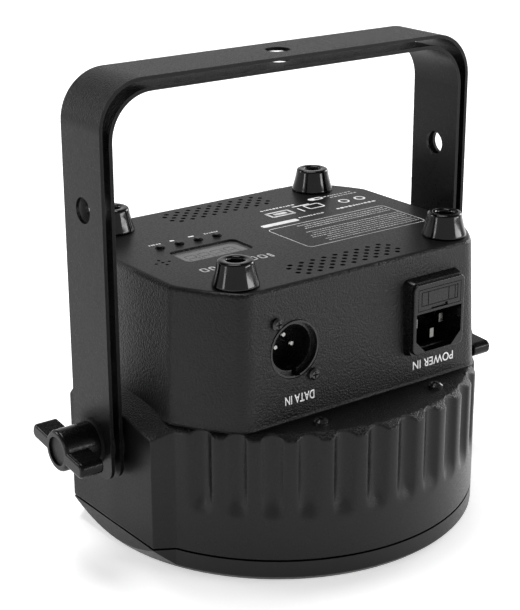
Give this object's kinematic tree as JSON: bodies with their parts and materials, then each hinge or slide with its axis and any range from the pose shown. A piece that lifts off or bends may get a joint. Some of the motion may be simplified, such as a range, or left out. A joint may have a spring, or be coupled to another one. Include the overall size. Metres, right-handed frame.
{
  "type": "par can light",
  "caption": "Flat LED par light with a fluted round front, flat-sided rear housing, double hinged yoke, clamp knobs, rubber feet and data and power sockets.",
  "frame": {"origin": "on the floor under the middle of the round front, with the light standing lens down", "axes": "+Z from the lens to the rear panel, X along the tilt axis of both yokes, -Y towards the face with the power inlet and the data input"},
  "size_m": [0.2212, 0.1716, 0.1968],
  "materials": {
    "housing_paint": "fine-textured dark powder coat, almost black",
    "panel_paint": "satin dark powder coat",
    "strap_paint": "grained dark powder coat",
    "bezel_plastic": "matt black",
    "glass": "clear toughened glass",
    "mirror": "bright pressed reflector",
    "gasket_rubber": "soft black",
    "foot_rubber": "smooth, slightly shiny black rubber",
    "knob_plastic": "semi-gloss black",
    "socket_plastic": "satin black moulding",
    "metal_shell": "black die-cast shell",
    "washer_plastic": "black nylon",
    "black_screw": "black oxide steel",
    "steel": "plated steel",
    "contact_metal": "nickel-plated brass",
    "brass": "turned brass",
    "sink_aluminium": "extruded aluminium",
    "led_yellow": "phosphor-coated emitter",
    "holder_plastic": "white moulding",
    "board_green": "solder-masked circuit board",
    "component_dark": "moulded components",
    "terminal_green": "green terminal blocks",
    "window_smoke": "smoky grey display cover",
    "display_module": "display module",
    "button_plastic": "grey button cap",
    "microphone_metal": "small aluminium can",
    "fuse_glass": "glass fuse",
    "lead_jacket": "PVC-covered lead"
  },
  "bodies": {
    "lamp_head": {"front_bezel": "bezel_plastic", "bezel_screws": "black_screw", "glass_gasket": "gasket_rubber", "front_glass": "glass", "reflector": "mirror", "led_holder": "holder_plastic", "cob_led": "led_yellow", "heat_sink": "sink_aluminium", "heat_sink_screws": "steel", "chassis_plate": "steel", "front_housing": "housing_paint", "ledge_screws": "black_screw", "boss_inserts": "brass", "rear_housing": "panel_paint", "chassis_screws": "steel", "rubber_feet": "foot_rubber", "foot_screws": "steel", "display_window": "window_smoke", "control_board": "board_green", "display_module": "display_module", "tact_switches": "component_dark", "microphone": "microphone_metal", "board_standoffs": "brass", "power_board": "board_green", "board_screws": "steel", "transformer": "component_dark", "capacitors": "component_dark", "board_terminals": "terminal_green", "data_in_shell": "metal_shell", "data_in_insert": "socket_plastic", "data_in_pins": "contact_metal", "data_out_shell": "metal_shell", "data_out_insert": "socket_plastic", "data_out_contacts": "contact_metal", "connector_screws": "black_screw", "power_in_body": "socket_plastic", "power_in_pins": "contact_metal", "power_out_body": "socket_plastic", "power_out_contacts": "contact_metal", "friction_washers": "washer_plastic", "inner_leads": "lead_jacket"},
    "outer_bracket": {"outer_yoke": "strap_paint"},
    "inner_bracket": {"inner_yoke": "strap_paint", "strap_spacers": "washer_plastic"},
    "left_washer": {"left_knob_washer": "washer_plastic"},
    "left_clamp": {"left_knob": "knob_plastic", "left_knob_cap": "knob_plastic", "left_stud": "steel"},
    "right_washer": {"right_knob_washer": "washer_plastic"},
    "right_clamp": {"right_knob": "knob_plastic", "right_knob_cap": "knob_plastic", "right_stud": "steel"},
    "menu_key": {"menu_button": "button_plastic"},
    "down_key": {"down_button": "button_plastic"},
    "up_key": {"up_button": "button_plastic"},
    "enter_key": {"enter_button": "button_plastic"},
    "fuse_carrier": {"fuse_drawer": "socket_plastic", "fuse": "fuse_glass"},
    "latch_tab": {"data_out_latch": "metal_shell"}
  },
  "joints": [
    {"name": "outer_yoke_tilt", "type": "hinge", "parent": "lamp_head", "child": "outer_bracket", "pos_m": [0, 0, 0.0482], "axis": [1, 0, 0], "range_deg": [-100, 100]},
    {"name": "inner_yoke_tilt", "type": "hinge", "parent": "lamp_head", "child": "inner_bracket", "pos_m": [0, 0, 0.0482], "axis": [1, 0, 0], "range_deg": [-100, 100]},
    {"name": "left_knob_travel", "type": "slide", "parent": "lamp_head", "child": "left_washer", "axis": [-1, 0, 0], "range_m": [0, 0.003]},
    {"name": "left_knob_turn", "type": "hinge", "parent": "left_washer", "child": "left_clamp", "pos_m": [-0.1, 0, 0.0482], "axis": [-1, 0, 0], "range_deg": [0, 720]},
    {"name": "right_knob_travel", "type": "slide", "parent": "lamp_head", "child": "right_washer", "axis": [1, 0, 0], "range_m": [0, 0.003]},
    {"name": "right_knob_turn", "type": "hinge", "parent": "right_washer", "child": "right_clamp", "pos_m": [0.1, 0, 0.0482], "axis": [1, 0, 0], "range_deg": [0, 720]},
    {"name": "menu_press", "type": "slide", "parent": "lamp_head", "child": "menu_key", "axis": [0, 0, -1], "range_m": [0, 0.0006], "stiffness_N_per_m": 1200, "springref_m": -0.0004},
    {"name": "down_press", "type": "slide", "parent": "lamp_head", "child": "down_key", "axis": [0, 0, -1], "range_m": [0, 0.0006], "stiffness_N_per_m": 1200, "springref_m": -0.0004},
    {"name": "up_press", "type": "slide", "parent": "lamp_head", "child": "up_key", "axis": [0, 0, -1], "range_m": [0, 0.0006], "stiffness_N_per_m": 1200, "springref_m": -0.0004},
    {"name": "enter_press", "type": "slide", "parent": "lamp_head", "child": "enter_key", "axis": [0, 0, -1], "range_m": [0, 0.0006], "stiffness_N_per_m": 1200, "springref_m": -0.0004},
    {"name": "fuse_drawer_pull", "type": "slide", "parent": "lamp_head", "child": "fuse_carrier", "axis": [0, -1, 0], "range_m": [0, 0.014]},
    {"name": "latch_press", "type": "slide", "parent": "lamp_head", "child": "latch_tab", "axis": [0, -1, 0], "range_m": [0, 0.0014], "stiffness_N_per_m": 800, "springref_m": -0.0005}
  ],
  "couplings": [
    {"joint": "left_knob_travel", "follows": "left_knob_turn", "m_per_rad": 0.00019894},
    {"joint": "right_knob_travel", "follows": "right_knob_turn", "m_per_rad": 0.00019894}
  ]
}
